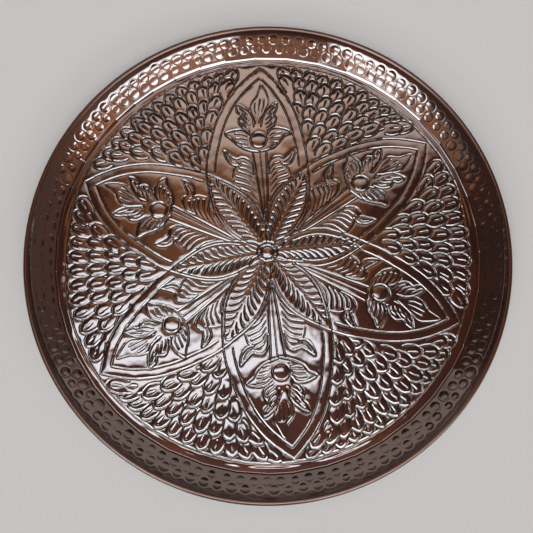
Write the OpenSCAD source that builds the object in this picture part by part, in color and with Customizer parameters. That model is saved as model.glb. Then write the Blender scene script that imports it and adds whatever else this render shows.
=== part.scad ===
// Round hammered copper serving tray: one chased sheet with its edge rolled
// around a stiffening wire. The origin is the centre of the underside, +Z is up.

/* [Tray] */
// Outside diameter over the rolled rim
tray_d = 400; // [340:5:480]
// Thickness of the copper sheet
sheet_t = 1; // [0.8:0.1:1.2]
// Width of the raised border, from the floor's edge to the outside of the rim
border_w = 20.5; // [19:0.5:26]
// Slope of the hammered wall, in degrees from level
wall_angle = 47; // [44:1:49]
// Slope where the wall runs into the rolled rim, in degrees from level
lip_angle = 60; // [56:1:66]
// Inside radius of the bend where the floor meets the wall
crease_r = 1.2; // [0.6:0.2:2]
// Radius of the smooth hollow between the hammered wall and the rim
hollow_r = 11; // [9:0.5:12]

/* [Rolled rim] */
// Diameter of the stiffening wire
wire_d = 2.5; // [2:0.1:3]
// Clearance between the wire and the curl around it
wire_gap = 0.05; // [0.02:0.01:0.1]
// Angle of the curl's free edge around the wire, measured from outward
curl_end = -125; // [-130:1:-100]

/* [Hammered wall] */
// Number of hammer marks in each of the two rows
marks_per_row = 108; // [60:4:120]
// Diameter of a hammer mark
mark_d = 6.4; // [4:0.2:7]
// Depth of a hammer mark
mark_depth = 0.45; // [0.2:0.05:0.5]

/* [Chased pattern] */
// Width of a chased line
line_w = 1.3; // [0.8:0.1:1.6]
// Depth of a chased line
line_depth = 0.4; // [0.2:0.05:0.5]
// Number of petals in the star
petals = 6; // [5:1:8]
// Width of the strap that outlines a petal
strap_w = 7.5; // [5:0.5:9]
// Radius of the ring around each flower's boss
boss_ring_r = 7; // [5:0.5:9]
// Distance from one line of a stem to the next
stem_pitch = 4; // [3:0.5:5]

/* [Hidden] */
$fn = 96;
arc_steps = 10;
overshoot = 1;

// The cross-section, from the floor outward.
tray_r = tray_d / 2;
floor_r = tray_r - border_w;
bead_r = wire_d / 2 + wire_gap + sheet_t;
wall_turn = wall_angle - 90;
lip_turn = lip_angle - 90;
crease_x = floor_r - crease_r * tan(wall_angle / 2);
crease_z = sheet_t + crease_r;
wall_start = [crease_x + crease_r * cos(wall_turn), crease_z + crease_r * sin(wall_turn)];
bead_x = tray_r - bead_r;
lip_x = bead_x - bead_r * sin(lip_angle);
wall_end_x = lip_x - hollow_r * (sin(lip_angle) - sin(wall_angle));
wall_end_z = wall_start[1] + (wall_end_x - wall_start[0]) * tan(wall_angle);
hollow_x = wall_end_x - hollow_r * sin(wall_angle);
hollow_z = wall_end_z + hollow_r * cos(wall_angle);
bead_z = hollow_z + hollow_r * sin(lip_turn) - bead_r * cos(lip_angle);

// The hammer marks: two staggered rows on the straight part of the wall.
mark_rows = [0.27, 0.68];
mark_clear = 0.3;
mark_ball_r = (pow(mark_d / 2, 2) + pow(mark_depth, 2)) / (2 * mark_depth);

// The chased star, as fractions of the floor's radius.
border_ring_r = 0.953 * floor_r;
tip_r = 0.95 * floor_r;
petal_half_w = 0.25 * floor_r;
petal_arc_r = 0.725 * floor_r;
petal_arc_x = petal_arc_r - petal_half_w;
petal_arc_y = tip_r - sqrt(pow(petal_arc_r, 2) - pow(petal_arc_x, 2));
petal_sweep = acos(petal_arc_x / petal_arc_r);
strap_tip = acos(petal_arc_x / (petal_arc_r - strap_w));
boss_y = 0.563 * floor_r;
stem_foot_y = 0.2 * floor_r;
rosette_r = 0.045 * floor_r;

function arc(x, z, r, from, to) =
    [for (i = [0:arc_steps]) let (a = from + (to - from) * i / arc_steps)
        [x + r * cos(a), z + r * sin(a)]];

// One side of the sheet's cross-section, offset outward by t from the top face.
function side(t) = concat(
    [[0, sheet_t - t]],
    arc(crease_x, crease_z, crease_r + t, -90, wall_turn),
    arc(hollow_x, hollow_z, hollow_r + t, wall_turn, lip_turn),
    arc(bead_x, bead_z, bead_r - t, lip_angle + 90, 90),
    arc(bead_x, bead_z, bead_r - t, 80, curl_end)
);

function reversed(list) = [for (i = [len(list) - 1:-1:0]) list[i]];

module spun_sheet() {
    rotate_extrude()
        polygon(concat(side(0), reversed(side(sheet_t))));
}

// A chased line along a circle: the cutter runs out through the top face.
module arc_line(r, from, to) {
    rotate([0, 0, from])
        rotate_extrude(angle = to - from)
            translate([r - line_w / 2, sheet_t - line_depth])
                square([line_w, line_depth + overshoot]);
}

module ring_line(r) {
    rotate_extrude()
        translate([r - line_w / 2, sheet_t - line_depth])
            square([line_w, line_depth + overshoot]);
}

module straight_line(x, from, to) {
    translate([x - line_w / 2, from, sheet_t - line_depth])
        cube([line_w, to - from, line_depth + overshoot]);
}

// One side of a petal's strap: two lines a strap's width apart.
module petal_side() {
    translate([-petal_arc_x, petal_arc_y]) {
        arc_line(petal_arc_r, 0, petal_sweep);
        arc_line(petal_arc_r - strap_w, 0, strap_tip);
    }
}

module petal() {
    petal_side();
    mirror([1, 0, 0])
        petal_side();
    for (k = [-1:1])
        straight_line(k * stem_pitch, stem_foot_y, boss_y - boss_ring_r);
    translate([0, boss_y])
        ring_line(boss_ring_r);
}

module chased_star() {
    for (i = [0:petals - 1])
        rotate([0, 0, i * 360 / petals])
            petal();
    ring_line(border_ring_r);
    ring_line(rosette_r);
}

// The cutter is only the cap of the ball that made the mark, so that neighbours stay apart.
module hammer_mark(along) {
    x = wall_start[0] + along * (wall_end_x - wall_start[0]);
    z = wall_start[1] + along * (wall_end_z - wall_start[1]);
    translate([x, 0, z])
        rotate([0, -wall_angle, 0])
            rotate_extrude()
                intersection() {
                    translate([0, mark_ball_r - mark_depth])
                        circle(r = mark_ball_r);
                    translate([0, -overshoot])
                        square([mark_d, overshoot + mark_clear]);
                }
}

module hammered_rows() {
    pitch = 360 / marks_per_row;
    for (row = [0:1])
        for (i = [0:marks_per_row - 1])
            rotate([0, 0, (i + row / 2) * pitch])
                hammer_mark(mark_rows[row]);
}

module tray_sheet() {
    color("saddlebrown")
        difference() {
            spun_sheet();
            chased_star();
            hammered_rows();
        }
}

module rim_wire() {
    color("dimgray")
        rotate_extrude()
            translate([bead_x, bead_z])
                circle(d = wire_d);
}

tray_sheet();
rim_wire();
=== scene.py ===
"""The looks of the chased copper tray: one closed sheet with its struck star, its hammered
wall and its rolled rim, on a plain floor. Lengths are in mm until they reach Blender."""

import math
import random

import bpy
import numpy as np
from mathutils import Matrix, Vector


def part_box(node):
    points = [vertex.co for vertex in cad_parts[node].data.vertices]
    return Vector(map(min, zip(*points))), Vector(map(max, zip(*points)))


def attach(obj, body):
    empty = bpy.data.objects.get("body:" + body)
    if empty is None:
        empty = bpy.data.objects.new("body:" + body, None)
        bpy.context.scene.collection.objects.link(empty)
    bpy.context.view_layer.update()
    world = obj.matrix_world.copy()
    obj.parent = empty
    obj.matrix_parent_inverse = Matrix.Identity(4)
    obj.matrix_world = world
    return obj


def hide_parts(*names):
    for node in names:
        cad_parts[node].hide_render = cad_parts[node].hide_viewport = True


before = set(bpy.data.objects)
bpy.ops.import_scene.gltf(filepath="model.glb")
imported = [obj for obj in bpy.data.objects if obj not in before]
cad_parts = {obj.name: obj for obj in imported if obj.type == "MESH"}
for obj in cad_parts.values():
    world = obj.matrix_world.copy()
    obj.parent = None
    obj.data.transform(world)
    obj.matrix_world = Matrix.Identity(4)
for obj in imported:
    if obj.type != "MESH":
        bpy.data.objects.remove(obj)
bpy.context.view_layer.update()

MM = 0.001
rng = random.Random(20)
noise = np.random.default_rng(20)

# ---------------------------------------------------------------- sizes from the frame
sheet_low, sheet_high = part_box("tray_sheet")
wire_low, wire_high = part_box("rim_wire")
TRAY_R = (sheet_high.x - sheet_low.x) / 2 / MM
WIRE_R = (wire_high.z - wire_low.z) / 2 / MM
BEAD_X = wire_high.x / MM - WIRE_R
BEAD_Z = (wire_high.z + wire_low.z) / 2 / MM
BEAD_R = TRAY_R - BEAD_X
SHEET_T = 1.0
BORE_R = BEAD_R - SHEET_T

# ---------------------------------------------------------------- sizes of the border
FLOOR_EDGE_R = 176.0    # where the chased disc ends and the plain ring begins
RING_START_R = 173.0    # where the plain ring begins
RING_SLOPE = -2.6       # the plain ring falls this much, in degrees, as it nears the wall
CREASE_R = 181.3        # where the bend at the wall's foot meets the hammered wall
BEND = 2.0              # how wide that bend is
BEND_MORE = 2.4         # how much wider on the far side
WALL_SLOPE = 47.0       # what the bend at the foot turns up to, in degrees
WALL_BOW = 0.6          # how far the wall is hollowed between its ends
HOLLOW_SLOPE = 56.0     # the wall's slope where the hammered part ends
LIP_SLOPE = 60.0        # the slope where the smooth hollow meets the bead
HOLLOW_R = 16.0         # the radius of that hollow
CURL_END = -125.0       # where the curl ends, in degrees round the wire from outward
MARKS = 108             # hammer marks in each row
MARK_R = 3.4
MARK_DEPTH = 0.24
MARK_ERRORS = (0.5, 0.35, 0.09, 0.32)  # along the row, up the wall, of radius, of depth
MARK_LIP = 0.09         # the metal pushed up round a mark
MARK_ROWS = (0.25, 0.62)  # shares of the way up the wall
MARK_FORCES = (0.8, 1.0)  # how hard each row is struck
FOOT_RINGS = 24         # rings of the mesh from the chased disc to the crease
WALL_RINGS = 38
BACK_RINGS = 19

# ---------------------------------------------------------------- sizes of the chasing
PITCH = 0.25            # between the samples of the relief
REACH = 178.0           # half the side of the square it covers
DISC_CELLS = 720        # cells of the mesh across the chased disc
LINE_R = 0.98           # half the width of a chased line
LINE_DEPTH = 0.7
DEEP = (0.5, 0.85)      # lines deeper than the first are eased, and none passes the second
SAG = ((1.5, 0.9), (4.0, 0.5))  # how the sheet sags round a line: how wide, what share
UNEVEN = ((9.0, 0.12), (3.0, 0.035), (1.3, 0.008))  # its own bumps: how wide, how high
WORN = -1.0             # the value below zero that the lines' patina and painted shade channel takes at the rim, where the lacquer is worn thin
RING_R = 171.0          # the line round the pattern, where it lies nearest the middle
# How far the line round the pattern strays outward, at equal steps from +X.
RING_STRAY = [0, 3, 1, 3, 2, 3, 1.3, 2, -0.5, 2, 2, 0.5, 1.3, 0.8, 1, 0.3]
STRAP_W = 7.6
FLOOR_Z = 1.3           # the top of the floor, between the lines
UNDER_Z = 0.4           # the underside, between the lines
UNDER_SHARE = 0.4       # how much of the relief shows on the underside

# Petals, anticlockwise: the way each one points, in degrees from +X, and how far its flower,
# the top of its stem and the foot of its stem stand off that line.
PETALS = [
    (-143.2, -2.0, -2.0, -1.0),
    (-82.8, 1.5, 2.5, 1.0),
    (-20.8, -0.5, 4.5, 1.5),
    (34.7, -3.5, -1.0, 1.0),
    (92.3, -4.0, -3.5, 0.0),
    (158.5, -0.5, 1.5, -2.0),
]
COUNT = len(PETALS)
# Where each petal's straps cross the next petal's: angle, radius, and the strap's width inside.
CROSSINGS = [
    (-114.0, 89.0, 2.3),
    (-51.5, 86.0, 2.3),
    (5.0, 85.0, 5.0),
    (65.5, 84.5, 2.3),
    (127.5, 87.5, 2.3),
    (191.0, 85.5, 2.3),
]
# The scales outside each crossing, row by row: the radius of the tips, and how far the nearest
# tip stands off the middle of the field.
FIELD_MIDDLES = [-113.0, -52.0, 7.0, 63.5, 125.0, 188.0]
SCALE_ROWS = [
    [(170.5, 0), (158, -6), (143, -5), (128, -1), (113, -3)],
    [(171.5, 1), (165, -7), (152, -9), (139, -3), (124, -3), (111, -2)],
    [(171.5, 3), (157, 3), (142, -1), (127, -2), (114, -1)],
    [(171.5, -1), (164, -9), (152, -2), (139, -13), (125, -9), (112, -8)],
    [(171.5, -4), (164, 0), (151, -7), (138, -5), (124, -7), (110, -5)],
    [(170, -7), (154, -8), (139, -9), (125, -2), (112, -6)],
]
SCALE_PITCH = 13.4
SCALE_HALF = [(0, 0), (2.9, -1.5), (5.1, -4.5), (6.1, -8.8), (5.9, -13.2), (4.6, -17)]

# Half of a petal's edge, tip to crossing, as shares of the way across and of the way down.
PETAL_EDGE = [(0, 0), (0.245, 0.1), (0.49, 0.23), (0.69, 0.385), (0.83, 0.55), (0.92, 0.72),
              (0.98, 0.865), (1, 1)]
# Half of a feather leaf, for one whose tip is at 86 mm: it ends where the next leaf's meets it.
LEAF_TIP = 86.0
LEAF_EDGE = [(5, 77), (11, 65), (15, 54), (16.5, 43), (15.5, 32), (12.3, 21.5)]

# The flower about the middle of its boss: outlines and veins of its right-hand leaves.
FLOWER_R = 101.0
UPPER_LEAF = [(3, 13), (4.5, 21), (9, 29), (18, 34.5), (17.5, 28), (14.5, 24), (16.5, 19),
              (14.5, 13), (8, 8)]
UPPER_VEINS = [((7.5, 11), (11, 13), (13.5, 16.5)), ((6.5, 14), (10.5, 17), (13.5, 21.5)),
               ((7, 18.5), (10.5, 21.5), (12.5, 25.5)), ((9, 24), (12, 27), (15, 31))]
SIDE_LEAF = [(7.5, 5), (12, 9.5), (19, 10.5), (29, 7), (23, 2), (18, -4), (10, -9),
             (1, -10.8)]
SIDE_VEINS = [((9.5, 3.5), (14, 6), (20, 6.5)), ((9.5, 0.5), (14, 2), (19.5, 2.5)),
              ((9, -2.8), (13, -2.6), (17, -2)), ((7, -6), (10.5, -6.4), (14, -5.5))]
TOP_LEAF = [(-2, 15), (-6.5, 27), (-5.5, 35), (0, 42), (4, 52), (8.5, 45), (10, 36), (7, 27),
            (1.5, 16)]
TOP_VEINS = [((-1.5, 24), (-2.5, 29), (-2, 35)), ((1, 24), (1.5, 31), (2.5, 38)),
             ((3.8, 26), (5.5, 32), (6, 38))]
# The leaves below the flower, about the stem.
SPRAY = [(6.5, 70), (7.5, 79), (12, 84.5), (17, 85), (20, 83.5), (24, 86), (31, 91.5),
         (29.5, 84), (25, 78.5), (18.5, 77.5)]
SPRAY_BACK = [(18, 80), (23, 74.5), (25.5, 67)]
SPRAY_BARB = [(21.5, 80), (25.5, 82.5), (28, 87)]
SPRAY_VEINS = [((8, 73), (11, 77.5), (16, 79.5)), ((7.5, 68.5), (12, 73.8), (18.5, 76)),
               ((7.2, 63.5), (12.5, 69.5), (20.5, 72.5)), ((7, 58), (13, 64.8), (22.5, 68)),
               ((6.8, 52), (13, 59.5), (23.5, 63)), ((6.2, 45.5), (12, 53), (19, 57))]


# ---------------------------------------------------------------- lines and frames
def shake(size):
    """A small error of the hand."""
    return rng.uniform(-size, size)


def shaken(points, size):
    return [(x + shake(size), y + shake(size)) for x, y in points]


def curve(points, step=0.3):
    """A smooth line through points, with a point every step."""
    p = np.asarray(points, float)
    ends = np.vstack([2 * p[0] - p[1], p, 2 * p[-1] - p[-2]])
    out = []
    for a, b, c, d in zip(ends, ends[1:], ends[2:], ends[3:]):
        n = max(2, int(math.dist(b, c) / step))
        t = np.arange(n)[:, None] / n
        cubic = (3 * b - a - 3 * c + d) * t**3
        out.append(0.5 * (2 * b + (c - a) * t + (2 * a - 5 * b + 4 * c - d) * t**2 + cubic))
    out.append(p[-1:])
    return np.vstack(out)


def circle(radius, points=240):
    t = np.linspace(0, 2 * np.pi, points)
    return radius * np.stack([np.cos(t), np.sin(t)], 1)


def turned(points, angle):
    """Points of a frame whose y axis looks along angle, in the tray's own frame."""
    p = np.asarray(points, float)
    a = math.radians(angle)
    right = np.array([math.sin(a), -math.cos(a)])
    ahead = np.array([math.cos(a), math.sin(a)])
    return p[..., :1] * right + p[..., 1:2] * ahead


def polar(angle, radius):
    a = math.radians(angle)
    return np.array([radius * math.cos(a), radius * math.sin(a)])


def degrees_between(a, b):
    return (a - b + 180) % 360 - 180


def run(path):
    """How far along path each of its points is."""
    return np.r_[0, np.cumsum(np.linalg.norm(np.diff(path, axis=0), axis=1))]


def nearest(path, point):
    return int(np.linalg.norm(path - point, axis=1).argmin())


def beside(path, gap):
    """The line that keeps gap to the left of path. gap may vary along it."""
    along = np.gradient(path, axis=0)
    along /= np.linalg.norm(along, axis=1)[:, None]
    left = np.stack([-along[:, 1], along[:, 0]], 1)
    return path + np.reshape(gap, (-1, 1)) * left


def until(path, wall, gap=0.8):
    """The part of path before it reaches the line wall."""
    far = np.linalg.norm(path[:, None] - wall[None, ::2], axis=2).min(1)
    hit = np.nonzero(far < gap)[0]
    return path[:hit[0]] if len(hit) else path


def inside(outline, x, y):
    """Which of the points x, y lie inside the closed outline."""
    odd = np.zeros(x.shape, bool)
    for (x1, y1), (x2, y2) in zip(outline, np.roll(outline, -1, 0)):
        if y1 != y2:
            odd ^= ((y1 > y) != (y2 > y)) & (x < (x2 - x1) * (y - y1) / (y2 - y1) + x1)
    return odd


# ---------------------------------------------------------------- the relief
class Relief:
    """The struck floor as a height field: how deep the lines are, and what swells above it."""

    def __init__(self):
        self.n = int(2 * REACH / PITCH) + 1
        self.cut = np.zeros((self.n, self.n))
        self.swell = np.zeros((self.n, self.n))

    def axis(self, low, high):
        first = max(0, int((low + REACH) / PITCH))
        last = min(self.n, int((high + REACH) / PITCH) + 2)
        return slice(first, last), np.arange(first, last) * PITCH - REACH

    def window(self, outline):
        """The samples in the outline's box, and their x and y."""
        (x0, y0), (x1, y1) = np.min(outline, 0), np.max(outline, 0)
        cols, x = self.axis(x0, x1)
        rows, y = self.axis(y0, y1)
        x, y = np.meshgrid(x, y)
        return (rows, cols), x, y

    def line(self, path, radius=LINE_R, depth=LINE_DEPTH):
        """Strikes a line with rounded sides. radius and depth may vary along it."""
        radius = np.broadcast_to(radius, len(path))
        depth = np.broadcast_to(depth, len(path))
        col, row = np.round((path + REACH) / PITCH).astype(int).T
        reach = int(np.max(radius) / PITCH) + 1
        for dr in range(-reach, reach + 1):
            for dc in range(-reach, reach + 1):
                r, c = row + dr, col + dc
                x = c * PITCH - REACH - path[:, 0]
                y = r * PITCH - REACH - path[:, 1]
                away = np.hypot(x, y) / radius
                ok = (away < 1) & (r >= 0) & (c >= 0) & (r < self.n) & (c < self.n)
                deep = depth * 0.5 * (1 + np.cos(np.pi * away))
                np.maximum.at(self.cut, (r[ok], c[ok]), deep[ok])

    def struck(self, path, radius=LINE_R, depth=LINE_DEPTH, blow=4.5, error=0.12):
        """Strikes a line as short blows that don't quite meet."""
        along = run(path)
        count = max(1, round(along[-1] / blow))
        for i in range(count):
            start = along[-1] * i / count - 0.3
            end = along[-1] * (i + 1) / count + 0.3
            part = path[(along >= start) & (along <= end)]
            if len(part) < 2:
                continue
            off = [shake(error), shake(error)]
            ends = np.linspace(-1, 1, len(part)) ** 4
            force = 1 + shake(0.12)
            self.line(part + off, radius * (1 - 0.15 * ends), depth * force * (1 - 0.2 * ends))

    def clear(self, outline):
        """Leaves plain metal inside the outline."""
        at, x, y = self.window(outline)
        hidden = inside(outline, x, y)
        self.cut[at][hidden] = 0
        self.swell[at][hidden] = 0

    def dome(self, centre, radius, height):
        at, x, y = self.window([np.subtract(centre, radius), np.add(centre, radius)])
        away = np.hypot(x - centre[0], y - centre[1]) / radius
        self.swell[at] += height * np.clip(1 - away**2, 0, None) ** 1.3


def blurred(field, sigma):
    """The field smoothed by a bell of that width."""
    down = np.fft.fftfreq(field.shape[0], PITCH)[:, None]
    across = np.fft.rfftfreq(field.shape[1], PITCH)[None]
    bell = np.exp(-2 * (math.pi * sigma) ** 2 * (down**2 + across**2))
    return np.fft.irfft2(np.fft.rfft2(field) * bell, field.shape)


# ---------------------------------------------------------------- the pattern
def petal_side(k, side):
    """The outer line of one side of petal k, tip to foot, with the crossing on it and the
    width that its strap keeps inside the crossing. side is 1 for the clockwise side."""
    angle = PETALS[k][0]
    cross_angle, cross_r, width = CROSSINGS[k if side < 0 else k - 1]
    away = math.radians(angle - cross_angle)
    cross = np.array([cross_r * math.sin(away), cross_r * math.cos(away)])
    tip_y = RING_R - 0.5
    outer = [(cross[0] * u, tip_y + (cross[1] - tip_y) * v) for u, v in PETAL_EDGE]
    size = cross_r / LEAF_TIP
    inner = [(side * x * size, y * size) for x, y in LEAF_EDGE]
    path = curve(np.vstack([turned(outer, angle), turned(inner, cross_angle)]))
    return path, polar(cross_angle, cross_r), width


def scale(relief, tip, lean, size):
    """One fish scale that points along lean."""
    half = curve([(x * size * (1 + shake(0.04)), y * size) for x, y in SCALE_HALF])
    other = half * [-1, 1]
    outline = turned(np.vstack([half, other[::-1]]), lean) + tip
    relief.clear(outline[::4])
    for side in (half, other):
        relief.struck(turned(side, lean) + tip, blow=7.0, error=0.1)
    bow = shake(0.5)
    rib = curve([(bow, -4.8 * size), (-bow * 0.5, -8.2 * size), (0, -11.8 * size)])
    fade = np.linspace(0, 1, len(rib))
    relief.line(turned(rib, lean) + tip, 1.05 - 0.45 * fade, LINE_DEPTH * (1 - 0.5 * fade))
    relief.dome(tip + turned([0, -8.5 * size], lean), 7.0 * size, 0.16)


def scale_field(relief, f):
    """Fills the field outside crossing f with rows of scales, the outer rows first."""
    middle = FIELD_MIDDLES[f]
    edges = {}
    for side, k in ((-1, (f + 1) % COUNT), (1, f)):
        path, cross, _ = petal_side(k, -side)
        edges[side] = path[:nearest(path, cross) + 1]
    for radius, phase in SCALE_ROWS[f]:
        limits = {}
        for side, path in edges.items():
            far = np.hypot(*path.T)
            i = max(1, min(len(far) - 2, int(np.abs(far - radius + 5).argmin())))
            at = math.degrees(math.atan2(path[i, 1], path[i, 0]))
            dx, dy = path[i - 1] - path[i + 1]
            strap = math.degrees(math.atan2(dy, dx))
            limits[side] = degrees_between(at, middle), degrees_between(strap, at)
        for j in range(-9, 10):
            x = phase + j * SCALE_PITCH + shake(0.7)
            turn = -math.degrees(x / radius)
            edge, strap_lean = limits[-1 if turn > 0 else 1]
            share = turn / edge
            if 0 <= share <= 0.97:
                lean = middle + turn + strap_lean * share**2 + shake(3)
                scale(relief, polar(middle + turn, radius + shake(0.8)), lean, 1 + shake(0.05))


def vein(relief, path, thin=0.4, thick=0.98):
    """A stroke that starts thin and ends in a round blow."""
    grow = np.linspace(0, 1, len(path))
    relief.line(path, thin + (thick - thin) * grow, LINE_DEPTH * (0.45 + 0.6 * grow))


def flower(relief, k):
    angle, off, _, _ = PETALS[k]

    def placed(points, flip=1):
        return turned(np.asarray(points, float) * [flip, 1] + [off, FLOWER_R], angle)

    relief.struck(placed(curve(shaken(TOP_LEAF, 0.6))), 0.75, 0.42, blow=9)
    for points in TOP_VEINS:
        vein(relief, placed(curve(shaken(points, 0.3), 0.2)), 0.35, 0.8)
    for flip in (-1, 1):
        for outline, veins in ((UPPER_LEAF, UPPER_VEINS), (SIDE_LEAF, SIDE_VEINS)):
            edge = placed(curve(shaken(outline, 0.6)), flip)
            relief.clear(edge[::4])
            relief.struck(edge, LINE_R, LINE_DEPTH, blow=8)
            for points in veins:
                vein(relief, placed(curve(shaken(points, 0.3), 0.2), flip))
    relief.clear(placed(circle(8.2, 60)))
    relief.line(placed(circle(7.0)), 1.1, 0.62)
    relief.dome(placed([0, 0]), 6.3, 0.22)


def stem_x(k, y):
    """How far the middle of petal k's stem stands off the petal's own line at y."""
    _, _, top, foot = PETALS[k]
    return foot + (top - foot) * np.clip((np.asarray(y, float) - 30) / 60, 0, 1)


def sprays(relief, k):
    """The pair of leaves that grow from the stem below the flower."""
    angle = PETALS[k][0]
    for flip in (-1, 1):
        def placed(points, size):
            p = curve(shaken(points, size), 0.25)
            return turned(np.stack([flip * p[:, 0] + stem_x(k, p[:, 1]), p[:, 1]], 1), angle)

        relief.struck(placed(SPRAY, 0.5), LINE_R, LINE_DEPTH, blow=7)
        relief.line(placed(SPRAY_BACK, 0.4), 0.75, 0.42)
        relief.line(placed(SPRAY_BARB, 0.3), 0.6, 0.35)
        for points in SPRAY_VEINS:
            vein(relief, placed(points, 0.35))


def stem(relief, k):
    """Two ribs between three lines, narrower toward the foot of the petal."""
    y = np.linspace(30, FLOWER_R - 10.5, 220)
    half = 1.6 + 4.4 * ((y - 30) / 60) ** 0.8
    for share, radius, depth in ((-1, 0.98, 0.55), (0.05, 0.7, 0.35), (1, 0.98, 0.55)):
        x = stem_x(k, y) + share * half
        relief.line(turned(np.stack([x, y], 1), PETALS[k][0]), radius, depth)


def straps(relief, k):
    """Petal k's two edges: an outer line, and an inner one that stops at the next strap."""
    for side in (-1, 1):
        path, cross, width = petal_side(k, side)
        next_strap = petal_side((k + (1 if side < 0 else -1)) % COUNT, -side)[0]
        at = nearest(path, cross)
        into = np.clip((run(path) - run(path)[at]) / 9, 0, 1)
        gap = STRAP_W + (width - STRAP_W) * into**2 * (3 - 2 * into)
        inner = beside(path, -side * gap)
        relief.clear(np.vstack([path[:at], inner[:at][::-1]])[::5])
        relief.struck(path, 0.92, 0.52, blow=9, error=0.1)
        own = side * degrees_between(PETALS[k][0], np.degrees(np.arctan2(*inner[:at, ::-1].T)))
        outer_part = until(inner[:at][own > 0], next_strap)
        relief.struck(outer_part, 0.92, 0.52, blow=9, error=0.1)
        start = at + int((6 if width < 4 else 1) / 0.3)
        relief.struck(inner[start:], 0.75, 0.45, blow=6, error=0.08)


def foot(relief, k):
    """The line from where two leaves meet to the rosette."""
    x = shake(1.5)
    path = curve([(-2.5, 31), (0, 24), (x, 16), (1.5 * x, 9.5)])
    relief.struck(turned(path, PETALS[k][0]), 0.8, 0.45, blow=7)


def feather(relief, f):
    """The leaf between two petals: tapering strokes on both sides of a plain rib."""
    angle, cross_r, width = CROSSINGS[f]
    size = cross_r / LEAF_TIP
    edge = curve([(0, LEAF_TIP)] + LEAF_EDGE)[::-1]
    margin = 0.62 if width < 4 else 0.56
    for side in (-1, 1):
        for i in range(12):
            top = 16.5 + 5.9 * i + shake(0.5)
            reach = margin * np.interp(top, edge[:, 1], edge[:, 0])
            if reach < 2.2:
                continue
            start = (1.3 + shake(0.2), top - 0.95 * reach - 1.6)
            middle = (0.4 * (1.3 + reach), top - 0.4 * reach - 0.6)
            end = (reach + shake(0.4), top + shake(0.4))
            path = curve([start, middle, end], 0.2) * [side * size, size]
            grow = np.linspace(0, 1, len(path))
            deep = LINE_DEPTH * (0.4 + 0.75 * grow)
            relief.line(turned(path, angle), 0.5 + 0.95 * grow**0.8, deep)


def ring_line():
    """The line round the pattern, which strays a little from a circle."""
    stray = RING_STRAY + RING_STRAY[:1]
    step = 360 / len(RING_STRAY)
    return curve([polar(i * step, RING_R + off) for i, off in enumerate(stray)])


def rosette(relief):
    relief.clear(circle(9.3, 60))
    relief.line(circle(5.3), LINE_R, LINE_DEPTH)
    t = np.linspace(0, 2 * np.pi, 240)
    lobes = 1 + 0.07 * np.abs(np.sin(4.5 * t))
    relief.line(circle(8.2) * lobes[:, None], 0.85, LINE_DEPTH)
    for i in range(9):
        a = 40 * i + 20
        relief.line(np.linspace(polar(a, 6.2), polar(a, 7.8), 12), 0.55, 0.35)
    relief.dome((0, 0), 4.6, 0.08)
    relief.line(np.array([(0, 0), (0.1, 0)]), 0.8, 0.35)


def chased_floor():
    """Every line of the pattern, in the order in which one lies over another."""
    relief = Relief()
    for f in range(COUNT):
        scale_field(relief, f)
    for k in range(COUNT):
        halves = []
        for side in (-1, 1):
            path, cross, _ = petal_side(k, side)
            halves.append(path[:nearest(path, cross) + 1:6])
        relief.clear(np.vstack([halves[0], [(0, 0)], halves[1][::-1]]))
    for k in range(COUNT):
        sprays(relief, k)
        stem(relief, k)
        flower(relief, k)
    for f in range(COUNT):
        left, right = petal_side(f, -1), petal_side((f + 1) % COUNT, 1)
        at = nearest(left[0], left[1]), nearest(right[0], right[1])
        relief.clear(np.vstack([left[0][at[0]::6], right[0][at[1]::6][::-1]]))
    for k in range(COUNT):
        straps(relief, k)
        foot(relief, k)
    for f in range(COUNT):
        feather(relief, f)
    rosette(relief)
    relief.struck(ring_line(), 0.9, 0.5, blow=8, error=0.2)
    return relief


def waves(shape, sigma, size):
    """Soft unevenness of the sheet, with bumps about sigma wide."""
    field = blurred(noise.standard_normal(shape), sigma)
    return field * (size / field.std())


# ---------------------------------------------------------------- the sheet's mesh
def bilinear(field, x, y):
    """The field at points x, y in mm."""
    u = np.clip((x + REACH) / PITCH, 0, field.shape[1] - 1.001)
    v = np.clip((y + REACH) / PITCH, 0, field.shape[0] - 1.001)
    i, j = u.astype(int), v.astype(int)
    s, t = u - i, v - j
    low = field[j, i] * (1 - s) + field[j, i + 1] * s
    high = field[j + 1, i] * (1 - s) + field[j + 1, i + 1] * s
    return low * (1 - t) + high * t


def disc_grid(n, radius):
    """A square grid of n by n cells wrapped onto a disc, and its edge, in order of angle."""
    a, b = np.meshgrid(np.linspace(-1, 1, n + 1), np.linspace(-1, 1, n + 1), indexing="ij")
    wide = np.abs(a) >= np.abs(b)
    main = np.where(wide, a, b)
    other = np.where(wide, b, a)
    turn = np.pi / 4 * np.divide(other, main, out=np.zeros_like(main), where=main != 0)
    cos, sin = np.cos(turn), np.sin(turn)
    x = radius * main * np.where(wide, cos, sin)
    y = radius * main * np.where(wide, sin, cos)
    index = np.arange((n + 1) ** 2).reshape(n + 1, n + 1)
    edge = np.concatenate([index[n, :n], index[n:0:-1, n], index[0, n:0:-1], index[:n, 0]])
    return x.ravel(), y.ravel(), index, edge


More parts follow.
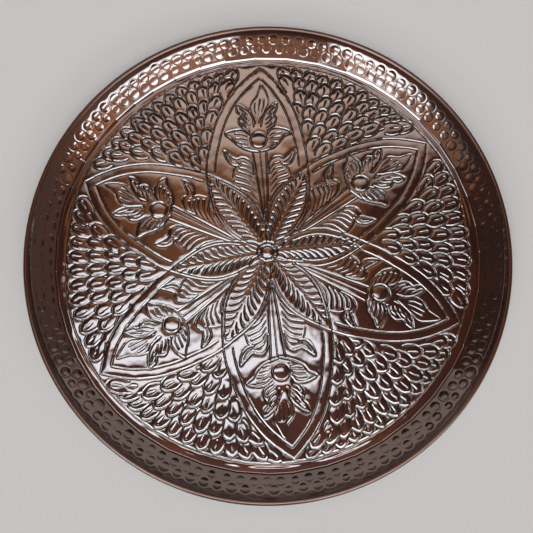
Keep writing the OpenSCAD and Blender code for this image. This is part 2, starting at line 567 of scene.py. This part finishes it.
class Sheet:
    """Gathers the vertices and faces of one mesh."""

    def __init__(self):
        self.points, self.quads, self.tris, self.patina, self.count = [], [], [], [], 0

    def add(self, x, y, z, patina=0.0):
        self.points.append(np.stack([x, y, np.broadcast_to(z, np.shape(x))], 1))
        self.patina.append(np.broadcast_to(patina, np.shape(x)))
        first = self.count
        self.count += len(x)
        return np.arange(first, self.count)

    def ring(self, turns, x, z, patina=0.0):
        return self.add(x * np.cos(turns), x * np.sin(turns), z, patina)

    def strip(self, a, b):
        """Joins two rings of as many points."""
        self.quads.append(np.stack([a, b, np.roll(b, -1), np.roll(a, -1)], 1))

    def narrow(self, fine, coarse):
        """Joins a ring to one of half as many points."""
        first, second, third = fine[::2], fine[1::2], np.roll(fine[::2], -1)
        near, far = coarse, np.roll(coarse, -1)
        for corners in ((first, near, second), (near, far, second), (second, far, third)):
            self.tris.append(np.stack(corners, 1))

    def cells(self, index, up):
        corners = [index[:-1, :-1], index[1:, :-1], index[1:, 1:], index[:-1, 1:]]
        corners = corners if up else corners[::-1]
        self.quads.append(np.stack([c.ravel() for c in corners], 1))

    def mesh(self, name):
        points = np.concatenate(self.points) * MM
        quads = np.concatenate(self.quads)
        tris = np.concatenate(self.tris)
        corners = np.concatenate([quads.ravel(), tris.ravel()]).astype(np.int32)
        starts = np.r_[np.arange(len(quads)) * 4, len(quads) * 4 + np.arange(len(tris)) * 3]
        mesh = bpy.data.meshes.new(name)
        mesh.vertices.add(len(points))
        mesh.vertices.foreach_set("co", points.astype(np.float32).ravel())
        mesh.loops.add(len(corners))
        mesh.loops.foreach_set("vertex_index", corners)
        mesh.polygons.add(len(starts))
        mesh.polygons.foreach_set("loop_start", starts.astype(np.int32))
        mesh.polygons.foreach_set("use_smooth", np.ones(len(starts), bool))
        # Per point: the lines' patina and painted shade, and below zero the worn rim.
        layer = mesh.attributes.new("patina", "FLOAT", "POINT")
        layer.data.foreach_set("value", np.concatenate(self.patina).astype(np.float32))
        mesh.update(calc_edges=True)
        mesh.validate()
        return mesh


def arc(x, z, radius, start, end, step):
    """Points on an arc, about step apart, with both ends."""
    n = max(2, math.ceil(abs(math.radians(end - start)) * radius / step))
    a = np.radians(np.linspace(start, end, n + 1))
    return np.stack([x + radius * np.cos(a), z + radius * np.sin(a)], 1)


def hammer_marks(turns, share, rows):
    """How deep the hammer marks are at each angle, at that share of the way up the wall."""
    deep = np.zeros_like(turns)
    lips = np.zeros_like(turns)
    for row, (centre, marks) in enumerate(zip(MARK_ROWS, rows)):
        place = turns / (2 * np.pi) * MARKS - row / 2
        for step in (-1, 0, 1):
            i = (np.round(place).astype(int) + step) % MARKS
            off, lift, radius, depth = marks[i].T
            gap = (place - np.round(place) - step) * 2 * np.pi * WALL_MIDDLE_R / MARKS
            away = np.hypot(gap - off, (share - centre) * WALL_LENGTH - lift) / radius
            strength = MARK_FORCES[row] * (1 - 0.2 * np.sin(turns))
            pit = strength * depth * np.clip(1 - away**2, 0, None) ** 0.8
            deep = np.maximum(deep, pit)
            lips = np.maximum(lips, MARK_LIP * np.clip(1 - ((away - 1.2) / 0.2) ** 2, 0, None))
    ends = min(1, min(share, 1 - share) / 0.05)
    return np.where(deep > 0, deep, -lips) * ends


def mark_rows():
    """Each mark's error along the row, its error up the wall, its radius and its depth."""
    rows = []
    for _ in MARK_ROWS:
        off, lift, wider, deeper = [noise.normal(0, error, MARKS) for error in MARK_ERRORS]
        radius = MARK_R * (1 + wider)
        depth = MARK_DEPTH * (1 + np.clip(deeper, -0.7, 0.7))
        rows.append(np.stack([off, lift, radius, depth], 1))
    return rows


# The hammered wall, from the crease to the smooth hollow above it, and the bend at its foot.
LIP_X = BEAD_X - BEAD_R * math.sin(math.radians(LIP_SLOPE))
HOLLOW_BACK = math.sin(math.radians(LIP_SLOPE)) - math.sin(math.radians(HOLLOW_SLOPE))
WALL_END_X = LIP_X - HOLLOW_R * HOLLOW_BACK
HOLLOW_X = WALL_END_X - HOLLOW_R * math.sin(math.radians(HOLLOW_SLOPE))
LIP_Z = BEAD_Z + BEAD_R * math.cos(math.radians(LIP_SLOPE))
HOLLOW_Z = LIP_Z + HOLLOW_R * math.cos(math.radians(LIP_SLOPE))
WALL_END_Z = HOLLOW_Z - HOLLOW_R * math.cos(math.radians(HOLLOW_SLOPE))
BEND_AT = np.linspace(0, 1, 61)
BEND_SLOPES = np.tan(np.radians(WALL_SLOPE) * BEND_AT ** 0.6)
BEND_RISE = np.cumsum(BEND_SLOPES) / len(BEND_AT)
CREASE_Z = FLOOR_Z + BEND * BEND_RISE[-1]
WALL_LENGTH = math.hypot(WALL_END_X - CREASE_R, WALL_END_Z - CREASE_Z)
WALL_MIDDLE_R = (CREASE_R + WALL_END_X) / 2


def ring_fall(radius):
    """How far the plain ring has fallen at that radius."""
    out = np.clip(radius - RING_START_R, 0, None)
    return math.tan(math.radians(RING_SLOPE)) * out**2 / (out + 0.8)


def wall_bow(share):
    """How far the wall is hollowed at that share of the way up it: it turns steeper high up."""
    return WALL_BOW * 2.12 * (share - share**4)     # at its deepest, WALL_BOW


def struck_crease(turns):
    """How far the crease stands off its circle: it was struck in straight lengths."""
    off = np.zeros_like(turns)
    start = 0.0
    while start < 360:
        end = min(360.0, start + rng.uniform(6, 10))
        middle, half = math.radians((start + end) / 2), math.radians((end - start) / 2)
        part = (turns >= math.radians(start)) & (turns < math.radians(end))
        bow = CREASE_R * (math.cos(half) / np.cos(turns[part] - middle) - 1)
        off[part] = bow + shake(0.25) + shake(0.012) * np.degrees(turns[part] - middle)
        start = end
    return off


def tray_mesh(relief):
    """The whole sheet as one closed mesh: floor, wall, rim, the wall's back and underside."""
    shape = relief.cut.shape
    soft = sum(share * blurred(relief.cut, wide) for wide, share in SAG)
    uneven = sum(waves(shape, wide, high) for wide, high in UNEVEN)
    height = relief.swell - relief.cut - soft + uneven
    ease, deepest = DEEP
    past = np.clip(-ease - height, 0, None) / (deepest - ease)
    height = np.maximum(height, -ease) - (deepest - ease) * np.tanh(past)
    # How deep each point lies in a line, as a share. It darkens the lines, partly as the patina
    # that sits in such hollows and partly as painted shade.
    patina = np.clip(blurred(relief.cut, 0.5) / LINE_DEPTH, 0, 1)
    sheet = Sheet()

    x, y, index, edge = disc_grid(DISC_CELLS, FLOOR_EDGE_R)
    fade = np.clip((FLOOR_EDGE_R - np.hypot(x, y)) / 1.5, 0, 1)
    level = FLOOR_Z + ring_fall(np.hypot(x, y))
    sheet.add(x, y, level + fade * bilinear(height, x, y), bilinear(patina, x, y))
    sheet.cells(index, up=True)
    last = edge

    turns = np.radians(-45 + 360 * np.arange(len(edge)) / len(edge))
    around = turns % (2 * np.pi)
    crease = struck_crease(around)
    rows = mark_rows()
    bend = BEND + BEND_MORE * np.clip(np.sin(turns), 0, None)
    bend_start = CREASE_R + crease - bend
    for share in np.linspace(0, 1, FOOT_RINGS + 1)[1:]:
        radius = FLOOR_EDGE_R + share * (CREASE_R + crease - FLOOR_EDGE_R)
        bend_rise = bend * np.interp((radius - bend_start) / bend, BEND_AT, BEND_RISE)
        foot_z = FLOOR_Z + ring_fall(np.minimum(radius, bend_start)) + bend_rise
        ring = sheet.ring(turns, radius, foot_z)
        sheet.strip(last, ring)
        last = ring
    slope = math.atan2(WALL_END_Z - CREASE_Z, WALL_END_X - CREASE_R)
    for share in np.linspace(0, 1, WALL_RINGS + 1)[1:]:
        deep = hammer_marks(around, share, rows)
        start_x = CREASE_R + crease * (1 - share) ** 2
        sunk = deep + wall_bow(share)
        radius = start_x + share * (WALL_END_X - CREASE_R) + sunk * math.sin(slope)
        height_here = foot_z + share * (WALL_END_Z - foot_z) - sunk * math.cos(slope)
        ring = sheet.ring(turns, radius, height_here, 0.08 * deep / MARK_DEPTH)
        sheet.strip(last, ring)
        last = ring

    half_turns = turns[::2]
    hollow = arc(HOLLOW_X, HOLLOW_Z, HOLLOW_R, HOLLOW_SLOPE - 90, LIP_SLOPE - 90, 0.5)[1:]
    bead = arc(BEAD_X, BEAD_Z, BEAD_R, LIP_SLOPE + 90, CURL_END, 0.4)[1:]
    end = math.radians(CURL_END)
    middle_r = (BEAD_R + BORE_R) / 2
    end_x = BEAD_X + middle_r * math.cos(end)
    end_z = BEAD_Z + middle_r * math.sin(end)
    lap = arc(end_x, end_z, SHEET_T / 2, CURL_END, CURL_END - 180, 0.25)[1:]
    bore = arc(BEAD_X, BEAD_Z, BORE_R, CURL_END, LIP_SLOPE + 90, 0.35)[1:]
    back = arc(HOLLOW_X, HOLLOW_Z, HOLLOW_R + SHEET_T, LIP_SLOPE - 90, HOLLOW_SLOPE - 90, 0.8)[1:]
    first = sheet.ring(half_turns, *hollow[0])
    sheet.narrow(last, first)
    last = first
    for x, z in hollow[1:]:
        ring = sheet.ring(half_turns, x, z)
        sheet.strip(last, ring)
        last = ring
    for x, z in [*bead, *lap, *bore, *back]:
        ring = sheet.ring(half_turns, x, z, WORN)
        sheet.strip(last, ring)
        last = ring

    down_x, down_z = back[-1]
    foot_x = CREASE_R + SHEET_T * math.sin(slope)
    foot_x += (CREASE_Z - SHEET_T * math.cos(slope) - UNDER_Z) / -math.tan(slope)
    for share in np.linspace(0, 1, BACK_RINGS + 1)[1:]:
        up = 1 - share
        deep = 0.6 * hammer_marks(around[::2], up, rows) + wall_bow(up)
        radius = foot_x + up * (down_x - foot_x) + deep * math.sin(slope)
        ring = sheet.ring(half_turns, radius, UNDER_Z + up * (down_z - UNDER_Z) - deep)
        sheet.strip(last, ring)
        last = ring
    x, y, index, edge = disc_grid(DISC_CELLS // 2, FLOOR_EDGE_R)
    fade = np.clip((FLOOR_EDGE_R - np.hypot(x, y)) / 1.5, 0, 1)
    under = blurred(height, 0.6)
    below = sheet.add(x, y, UNDER_Z + UNDER_SHARE * fade * bilinear(under, x, y))
    sheet.cells(below[index], up=False)
    sheet.strip(last, below[edge])
    return sheet.mesh("chased_tray")


# ---------------------------------------------------------------- materials
class Nodes:
    """Short calls for a node tree."""

    def __init__(self, tree):
        self.tree = tree

    def add(self, kind, values=(), **settings):
        node = self.tree.nodes.new(kind)
        for key, value in settings.items():
            setattr(node, key, value)
        for key, value in dict(values).items():
            if isinstance(value, bpy.types.NodeSocket):
                self.tree.links.new(value, node.inputs[key])
            else:
                node.inputs[key].default_value = value
        return node

    def noise(self, vector, size, detail=3.0, roughness=0.55):
        """Noise whose features are about size mm wide."""
        values = {"Vector": vector, "Scale": 1 / (size * MM), "Detail": detail,
                  "Roughness": roughness}
        return self.add("ShaderNodeTexNoise", values).outputs["Fac"]

    def ramp(self, fac, stops):
        node = self.add("ShaderNodeValToRGB", {"Fac": fac})
        elements = node.color_ramp.elements
        while len(elements) < len(stops):
            elements.new(0.5)
        for element, (place, colour) in zip(elements, stops):
            element.position = place
            element.color = (*colour, 1)
        return node.outputs["Color"]

    def math(self, operation, a, b):
        node = self.add("ShaderNodeMath", operation=operation)
        for socket, value in zip(node.inputs, (a, b)):
            if isinstance(value, bpy.types.NodeSocket):
                self.tree.links.new(value, socket)
            else:
                socket.default_value = value
        return node.outputs[0]

    def spread(self, value, low, high, start=0.0, end=1.0):
        """Maps low..high to start..end, held at both ends."""
        values = {"Value": value, "From Min": low, "From Max": high, "To Min": start,
                  "To Max": end}
        return self.add("ShaderNodeMapRange", values).outputs["Result"]

    def mix(self, fac, a, b):
        node = self.add("ShaderNodeMix", data_type="RGBA")
        for socket, value in ((node.inputs[0], fac), (node.inputs[6], a), (node.inputs[7], b)):
            if isinstance(value, bpy.types.NodeSocket):
                self.tree.links.new(value, socket)
            else:
                socket.default_value = (*value, 1) if isinstance(value, tuple) else value
        return node.outputs[2]


def new_material(name):
    material = bpy.data.materials.new(name)
    material.use_nodes = True
    nodes = Nodes(material.node_tree)
    return material, nodes, material.node_tree.nodes["Principled BSDF"]


def copper_material():
    """Antiqued copper under clear lacquer: brown, darker in the lines with patina and painted
    shade, worn at the rim.
    """
    material, nodes, shader = new_material("lacquered_copper")
    place = nodes.add("ShaderNodeTexCoord").outputs["Object"]
    patina = nodes.add("ShaderNodeAttribute", attribute_name="patina").outputs["Fac"]
    clouds = nodes.noise(place, 60)
    speckle = nodes.noise(place, 2.2, 4.0)
    sheet = nodes.ramp(clouds, [(0.3, (0.018, 0.0038, 0.0015)), (0.5, (0.031, 0.0066, 0.0025)),
                                (0.7, (0.055, 0.0132, 0.0046))])
    sheet = nodes.mix(nodes.spread(speckle, 0.35, 0.75, 0.0, 0.35), sheet,
                      (0.011, 0.0023, 0.0010))
    # Near black in the lines: partly patina, partly painted shade that stands in for the shadow
    # in the grooves.
    colour = nodes.mix(nodes.spread(patina, 0.1, 0.5, 0.0, 0.95), sheet, (0.002, 0.0008, 0.0005))
    colour = nodes.mix(nodes.spread(patina, -0.2, -1.0), colour, (0.050, 0.018, 0.009))
    rough = nodes.spread(clouds, 0.3, 0.7, 0.46, 0.36)
    rough = nodes.math("ADD", rough, nodes.spread(patina, 0.0, 1.0, 0.0, 0.14))
    lacquer = nodes.spread(patina, 0.3, 0.85, 1.0, 0.65)
    lacquer = nodes.math("MINIMUM", lacquer, nodes.spread(patina, -1.0, -0.2, 0.3, 1.0))
    grain = nodes.noise(place, 0.9, 2.0)
    bump = nodes.add("ShaderNodeBump", {"Height": grain, "Strength": 0.06,
                                        "Distance": 0.2 * MM})
    tree = material.node_tree
    tree.links.new(colour, shader.inputs["Base Color"])
    tree.links.new(rough, shader.inputs["Roughness"])
    tree.links.new(bump.outputs["Normal"], shader.inputs["Normal"])
    shader.inputs["Metallic"].default_value = 0.85
    tree.links.new(lacquer, shader.inputs["Coat Weight"])
    shader.inputs["Coat Roughness"].default_value = 0.03
    shader.inputs["Coat IOR"].default_value = 2.0
    return material


def steel_material():
    """Drawn steel wire: grey, dull, with long marks and a few brown spots."""
    material, nodes, shader = new_material("drawn_steel")
    place = nodes.add("ShaderNodeTexCoord").outputs["Object"]
    marks = nodes.noise(place, 1.2, 4.0)
    spots = nodes.noise(place, 14, 3.0)
    grey = nodes.ramp(marks, [(0.35, (0.30, 0.29, 0.28)), (0.65, (0.48, 0.47, 0.46))])
    colour = nodes.mix(nodes.spread(spots, 0.6, 0.75, 0.0, 0.6), grey, (0.20, 0.11, 0.07))
    rough = nodes.spread(marks, 0.3, 0.7, 0.32, 0.52)
    tree = material.node_tree
    tree.links.new(colour, shader.inputs["Base Color"])
    tree.links.new(rough, shader.inputs["Roughness"])
    shader.inputs["Metallic"].default_value = 1.0
    return material


def floor_material():
    material, nodes, shader = new_material("pale_floor")
    shader.inputs["Base Color"].default_value = (0.30, 0.295, 0.29, 1)
    shader.inputs["Roughness"].default_value = 0.9
    return material


# ---------------------------------------------------------------- the stage
def make_floor():
    side = 8.0
    mesh = bpy.data.meshes.new("floor")
    corners = [(-side, -side, 0), (side, -side, 0), (side, side, 0), (-side, side, 0)]
    mesh.from_pydata(corners, [], [(0, 1, 2, 3)])
    floor = bpy.data.objects.new("floor", mesh)
    floor.location.z = -0.0002
    floor.data.materials.append(floor_material())
    bpy.context.scene.collection.objects.link(floor)


class Room:
    """The soft light of a room as the lacquer mirrors it: patches with soft edges."""

    def __init__(self, name):
        world = bpy.data.worlds.new(name)
        world.use_nodes = True
        bpy.context.scene.world = world
        self.nodes = Nodes(world.node_tree)
        self.look = self.nodes.add("ShaderNodeTexCoord").outputs["Generated"]
        self.back = world.node_tree.nodes["Background"]
        self.end = world.node_tree.nodes["World Output"]
        self.light = self.back.outputs[0]

    def edge(self, toward, dark, lit):
        """0 where the look goes less than dark along toward, 1 where it goes lit or more."""
        values = {0: self.look, 1: tuple(Vector(toward).normalized())}
        along = self.nodes.add("ShaderNodeVectorMath", values, operation="DOT_PRODUCT")
        return self.nodes.spread(along.outputs["Value"], dark, lit)

    def both(self, *shares):
        product = shares[0]
        for share in shares[1:]:
            product = self.nodes.math("MULTIPLY", product, share)
        return product

    def without(self, amount, *shares):
        """What is left once that amount of the product of the shares is taken away."""
        lost = self.nodes.math("MULTIPLY", self.both(*shares), amount)
        return self.nodes.math("SUBTRACT", 1.0, lost)

    def patch(self, strength, colour, *shares):
        values = {"Color": (*colour, 1),
                  "Strength": self.nodes.math("MULTIPLY", self.both(*shares), strength)}
        patch = self.nodes.add("ShaderNodeBackground", values)
        values = {0: self.light, 1: patch.outputs[0]}
        self.light = self.nodes.add("ShaderNodeAddShader", values).outputs[0]

    def backdrop(self, colour):
        """Hangs the light, which the camera itself sees as a plain backdrop."""
        plain = self.nodes.add("ShaderNodeBackground", {"Color": (*colour, 1)})
        looked_at = self.nodes.add("ShaderNodeLightPath").outputs["Is Camera Ray"]
        values = {0: looked_at, 1: self.light, 2: plain.outputs[0]}
        shown = self.nodes.add("ShaderNodeMixShader", values)
        self.nodes.tree.links.new(shown.outputs[0], self.end.inputs["Surface"])


def make_light():
    """Open sky behind the camera, a paler haze over the far side, and little from the sides."""
    room = Room("studio")
    room.back.inputs["Color"].default_value = (1.0, 0.8, 0.7, 1)
    room.back.inputs["Strength"].default_value = 0.03
    sky, cloud, haze = (0.93, 0.97, 1.0), (0.95, 0.94, 1.0), (1.0, 0.80, 0.71)
    warm, russet = (1.0, 0.42, 0.14), (1.0, 0.6, 0.48)
    left, right, near, far = (-1, 0, 0), (1, 0, 0), (0, -1, 0), (0, 1, 0)
    up, down = (0, 0, 1), (0, 0, -1)

    # A patch almost overhead, to the left.
    room.patch(7.0, cloud, room.edge(far, -0.05, 0.01), room.edge(near, -0.15, -0.08),
               room.edge(right, -0.36, -0.31), room.edge(left, -0.14, -0.05))
    # The sky behind the camera, cut by a band of shade, a post, and a wall on the left.
    shade = room.without(0.9, room.edge(up, 0.47, 0.52), room.edge(down, -0.68, -0.60))
    lower = room.without(0.85, room.edge(up, 0.42, 0.47), room.edge(down, -0.68, -0.60),
                         room.edge(right, 0.05, 0.15))
    post = room.without(0.98, room.edge((1, -0.05, 0), -0.32, -0.26),
                        room.edge((-1, 0.05, 0), -0.24, -0.18),
                        room.edge(down, -0.82, -0.74), room.edge(near, 0.2, 0.3))
    wall = room.without(0.97, room.edge((-0.94, 0, 0.34), 0.74, 0.84))
    room.patch(10.5, sky, room.edge((-0.1, -1, 0), 0.27, 0.34), room.edge(up, 0.30, 0.38),
               shade, lower, post, wall)
    # The haze over the far side, high and low, and what the sides give back.
    room.patch(2.8, haze, room.edge(far, 0.30, 0.45), room.edge(near, -0.545, -0.50),
               room.edge(right, -0.45, -0.25), room.edge(left, -0.45, -0.25))
    room.patch(0.95, haze, room.edge(far, 0.62, 0.70), room.edge(down, -0.42, -0.26))
    room.patch(0.08, russet, room.edge(left, 0.6, 0.75), room.edge(down, -0.6, -0.45))
    room.patch(0.3, russet, room.edge(right, 0.6, 0.75), room.edge(down, -0.6, -0.45))
    # Warm light: a glow on the far side, and what the band of shade gives back.
    room.patch(0.75, warm, room.edge((-0.05, 0.31, 0.95), 0.962, 0.994))
    room.patch(0.9, warm, room.edge(up, 0.44, 0.50), room.edge(down, -0.68, -0.60),
               room.edge(near, 0.1, 0.2))
    room.backdrop((0.59, 0.575, 0.565))
    bpy.context.scene.view_settings.view_transform = "Standard"


def make_camera():
    """The photograph's view: from the near side, leaning a little back from straight down."""
    tilt, roll = math.radians(10.56), math.radians(0.23)
    turn = Matrix.Rotation(tilt, 3, "X") @ Matrix.Rotation(roll, 3, "Y")
    camera = bpy.data.cameras.new("camera")
    camera.angle = math.radians(50.9)
    holder = bpy.data.objects.new("camera", camera)
    holder.matrix_world = turn.to_4x4()
    away = Vector((-0.83, -12.68, 475.9))
    holder.location = turn @ away * MM + Vector((0, 0, SHEET_T * MM))
    bpy.context.scene.collection.objects.link(holder)
    bpy.context.scene.camera = holder


# ---------------------------------------------------------------- the assembly
def make_tray():
    """The sheet with its relief, in place of the CAD's plainer one."""
    tray = bpy.data.objects.new("chased_tray", tray_mesh(chased_floor()))
    bpy.context.scene.collection.objects.link(tray)
    tray.data.materials.append(copper_material())
    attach(tray, "root")
    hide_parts("tray_sheet")


def finish_wire():
    """The CAD's own wire, in steel."""
    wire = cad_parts["rim_wire"]
    for slot in wire.material_slots:
        slot.material = steel_material()


make_camera()
make_floor()
make_light()
make_tray()
finish_wire()
